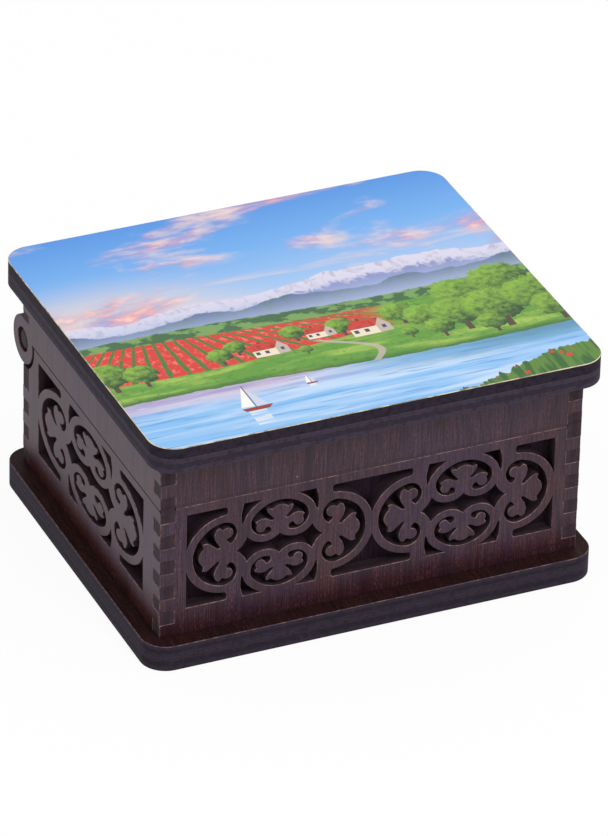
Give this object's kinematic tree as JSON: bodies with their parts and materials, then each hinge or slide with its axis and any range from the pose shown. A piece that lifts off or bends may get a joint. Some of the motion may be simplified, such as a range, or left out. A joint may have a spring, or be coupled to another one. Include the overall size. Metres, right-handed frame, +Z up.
{
  "type": "trinket box",
  "caption": "Laser-cut plywood trinket box with pierced scroll fretwork walls, box-jointed corners and a picture lid on a wooden knuckle hinge.",
  "frame": {"origin": "centre of the underside of the base board, on the surface that the box stands on", "axes": "+Z up, +X to the right as seen from the front, +Y towards the hinge at the back, so the front faces -Y"},
  "size_m": [0.12, 0.103, 0.0644],
  "materials": {
    "stained_face": "dark brown stained and lacquered plywood face, satin, fine grain",
    "stained_liner": "dark stained plywood behind the fretwork, satin",
    "cut_edge": "laser-darkened and stained cut edge of the base and lid boards, satin",
    "dowel_wood": "stained end of a round hardwood dowel",
    "picture": "printed picture under a glossy lacquer on plywood"
  },
  "bodies": {
    "box": {"base_board": "cut_edge", "floor_board": "stained_face", "front_wall": "stained_face", "back_wall": "stained_face", "left_wall": "stained_face", "right_wall": "stained_face", "front_liner": "stained_liner", "back_liner": "stained_liner", "left_liner": "stained_liner", "right_liner": "stained_liner", "hinge_dowel_left": "dowel_wood", "hinge_dowel_right": "dowel_wood"},
    "lid": {"lid_front_strip": "stained_face", "lid_back_strip": "stained_face", "lid_left_strip": "stained_face", "lid_right_strip": "stained_face", "lid_board": "cut_edge", "picture_panel": "picture"}
  },
  "joints": [
    {"name": "lid_hinge", "type": "hinge", "parent": "box", "child": "lid", "pos_m": [0, 0.045, 0.0417], "axis": [-1, 0, 0], "range_deg": [0, 155]}
  ]
}
